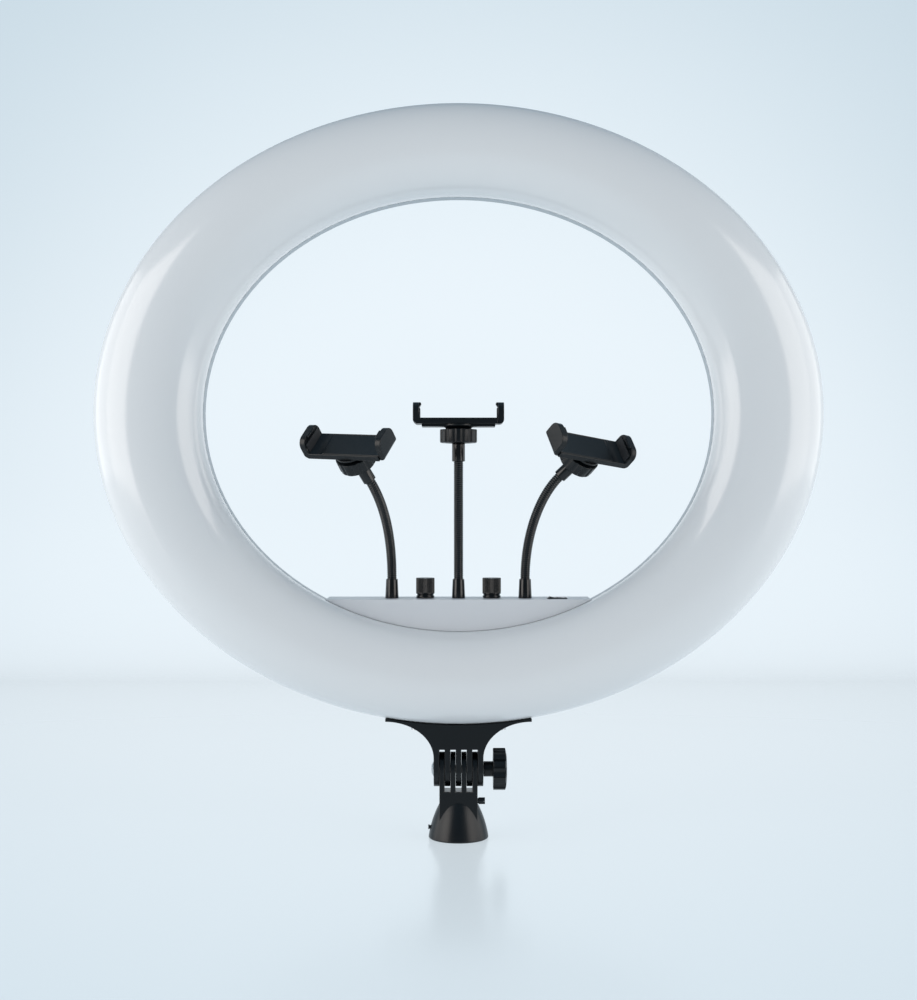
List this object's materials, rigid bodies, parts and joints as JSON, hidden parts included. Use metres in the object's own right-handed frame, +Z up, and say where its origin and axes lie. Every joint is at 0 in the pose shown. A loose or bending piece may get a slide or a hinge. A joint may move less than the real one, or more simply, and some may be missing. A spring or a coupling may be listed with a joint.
{
  "type": "selfie ring light",
  "caption": "Oval ring light on a tilting stand socket, with gooseneck phone clamps, control knobs and a power rocker inside the ring.",
  "frame": {"origin": "centre of the stand socket's bottom face, in the mouth of the bore for the stand's spigot", "axes": "+X to the right seen from the lit side, +Y to the back of the ring, +Z up along the socket"},
  "size_m": [0.56, 0.1049, 0.5645],
  "materials": {
    "diffuser_white": "glossy milk-white diffuser",
    "housing_white": "glossy white",
    "box_white": "satin pale grey",
    "black_plastic": "satin black",
    "black_metal": "gloss black",
    "screw_steel": "zinc plated",
    "spring_steel": "drawn wire",
    "pad_rubber": "matt black",
    "insert_brass": "turned",
    "board_white": "white solder mask",
    "led_yellow": "phosphor yellow",
    "board_green": "green solder mask",
    "driver_black": "moulded",
    "lead_black": "soft black sleeve"
  },
  "bodies": {
    "stand_base": {"stand_socket": "black_plastic", "socket_side_screw": "screw_steel"},
    "lock_screw": {"stand_lock_screw": "screw_steel"},
    "ring_head": {"rear_housing": "housing_white", "front_diffuser": "diffuser_white", "led_board": "board_white", "led_chips": "led_yellow", "housing_screws": "screw_steel", "board_screws": "screw_steel", "control_box_shell": "box_white", "control_box_back": "box_white", "control_box_screws": "screw_steel", "control_board": "board_green", "driver_parts": "driver_black", "brightness_pot": "screw_steel", "colour_pot": "screw_steel", "switch_body": "black_plastic", "dc_socket": "black_plastic", "led_lead": "lead_black", "ring_bracket": "black_plastic", "bracket_screws": "screw_steel", "hinge_bolt": "screw_steel", "neck_nuts": "screw_steel", "left_base_ferrule": "black_metal", "left_gooseneck": "black_metal", "centre_base_ferrule": "black_metal", "centre_gooseneck": "black_metal", "right_base_ferrule": "black_metal", "right_gooseneck": "black_metal"},
    "tilt_handle": {"tilt_knob": "black_plastic", "knob_insert": "insert_brass"},
    "brightness_control": {"brightness_knob": "black_plastic", "brightness_shaft": "screw_steel"},
    "colour_control": {"colour_knob": "black_plastic", "colour_shaft": "screw_steel"},
    "rocker": {"power_rocker": "black_plastic"},
    "left_stud": {"left_top_ferrule": "black_metal"},
    "left_collar": {"left_lock_collar": "black_plastic"},
    "left_clamp": {"left_clamp_body": "black_plastic", "left_clamp_cover": "black_plastic", "left_clamp_springs": "spring_steel", "left_fixed_pad": "pad_rubber"},
    "left_jaw": {"left_clamp_jaw": "black_plastic", "left_jaw_pad": "pad_rubber"},
    "centre_stud": {"centre_top_ferrule": "black_metal"},
    "centre_collar": {"centre_lock_collar": "black_plastic"},
    "centre_clamp": {"centre_clamp_body": "black_plastic", "centre_clamp_cover": "black_plastic", "centre_clamp_springs": "spring_steel", "centre_fixed_pad": "pad_rubber"},
    "centre_jaw": {"centre_clamp_jaw": "black_plastic", "centre_jaw_pad": "pad_rubber"},
    "right_stud": {"right_top_ferrule": "black_metal"},
    "right_collar": {"right_lock_collar": "black_plastic"},
    "right_clamp": {"right_clamp_body": "black_plastic", "right_clamp_cover": "black_plastic", "right_clamp_springs": "spring_steel", "right_fixed_pad": "pad_rubber"},
    "right_jaw": {"right_clamp_jaw": "black_plastic", "right_jaw_pad": "pad_rubber"}
  },
  "joints": [
    {"name": "stand_lock_turn", "type": "hinge", "parent": "stand_base", "child": "lock_screw", "pos_m": [0, 0, 0.0282], "axis": [1, 0, 0], "continuous": true},
    {"name": "ring_tilt", "type": "hinge", "parent": "stand_base", "child": "ring_head", "pos_m": [0, 0, 0.0528], "axis": [1, 0, 0], "range_deg": [-90, 90]},
    {"name": "tilt_knob_turn", "type": "hinge", "parent": "ring_head", "child": "tilt_handle", "pos_m": [0.028, 0, 0.0528], "axis": [1, 0, 0], "continuous": true},
    {"name": "brightness_turn", "type": "hinge", "parent": "ring_head", "child": "brightness_control", "pos_m": [-0.0259, 0.01425, 0.19], "axis": [0, 0, 1], "range_deg": [-140, 140]},
    {"name": "colour_turn", "type": "hinge", "parent": "ring_head", "child": "colour_control", "pos_m": [0.0259, 0.01425, 0.19], "axis": [0, 0, 1], "range_deg": [-140, 140]},
    {"name": "power_rock", "type": "hinge", "parent": "ring_head", "child": "rocker", "pos_m": [0.0766, 0.0088, 0.1835], "axis": [0, 1, 0], "range_deg": [-9, 0]},
    {"name": "left_neck_bend", "type": "hinge", "parent": "ring_head", "child": "left_stud", "pos_m": [-0.05504, -0.00181, 0.24058], "axis": [1, 0, 0], "range_deg": [-60, 30], "deforming": ["left_gooseneck"]},
    {"name": "left_ball_tilt", "type": "hinge", "parent": "left_stud", "child": "left_collar", "pos_m": [-0.0775, -0.035, 0.2931], "axis": [0.8695, -0.4919, -0.0454], "range_deg": [-38, 6]},
    {"name": "left_clamp_swivel", "type": "hinge", "parent": "left_collar", "child": "left_clamp", "pos_m": [-0.0775, -0.035, 0.2931], "axis": [-0.3203, -0.6312, 0.7064], "range_deg": [-90, 90]},
    {"name": "left_jaw_slide", "type": "slide", "parent": "left_clamp", "child": "left_jaw", "axis": [0.8695, -0.4919, -0.0454], "range_m": [0, 0.028], "stiffness_N_per_m": 200, "springref_m": -0.02, "deforming": ["left_clamp_springs"]},
    {"name": "centre_neck_bend", "type": "hinge", "parent": "ring_head", "child": "centre_stud", "pos_m": [0, 0.01425, 0.24445], "axis": [1, 0, 0], "range_deg": [-60, 60], "deforming": ["centre_gooseneck"]},
    {"name": "centre_ball_tilt", "type": "hinge", "parent": "centre_stud", "child": "centre_collar", "pos_m": [0, 0.01425, 0.3124], "axis": [1, 0, 0], "range_deg": [-30, 30]},
    {"name": "centre_clamp_swivel", "type": "hinge", "parent": "centre_collar", "child": "centre_clamp", "pos_m": [0, 0.01425, 0.3124], "axis": [0, 0, 1], "range_deg": [-90, 90]},
    {"name": "centre_jaw_slide", "type": "slide", "parent": "centre_clamp", "child": "centre_jaw", "axis": [1, 0, 0], "range_m": [0, 0.028], "stiffness_N_per_m": 200, "springref_m": -0.02, "deforming": ["centre_clamp_springs"]},
    {"name": "right_neck_bend", "type": "hinge", "parent": "ring_head", "child": "right_stud", "pos_m": [0.05777, 0.00444, 0.24176], "axis": [1, 0, 0], "range_deg": [-60, 30], "deforming": ["right_gooseneck"]},
    {"name": "right_ball_tilt", "type": "hinge", "parent": "right_stud", "child": "right_collar", "pos_m": [0.0928, -0.0164, 0.2932], "axis": [-0.8273, -0.5476, 0.1253], "range_deg": [-3, 34]},
    {"name": "right_clamp_swivel", "type": "hinge", "parent": "right_collar", "child": "right_clamp", "pos_m": [0.0928, -0.0164, 0.2932], "axis": [0.4984, -0.6125, 0.6135], "range_deg": [-90, 90]},
    {"name": "right_jaw_slide", "type": "slide", "parent": "right_clamp", "child": "right_jaw", "axis": [-0.8273, -0.5476, 0.1253], "range_m": [0, 0.028], "stiffness_N_per_m": 200, "springref_m": -0.02, "deforming": ["right_clamp_springs"]}
  ]
}
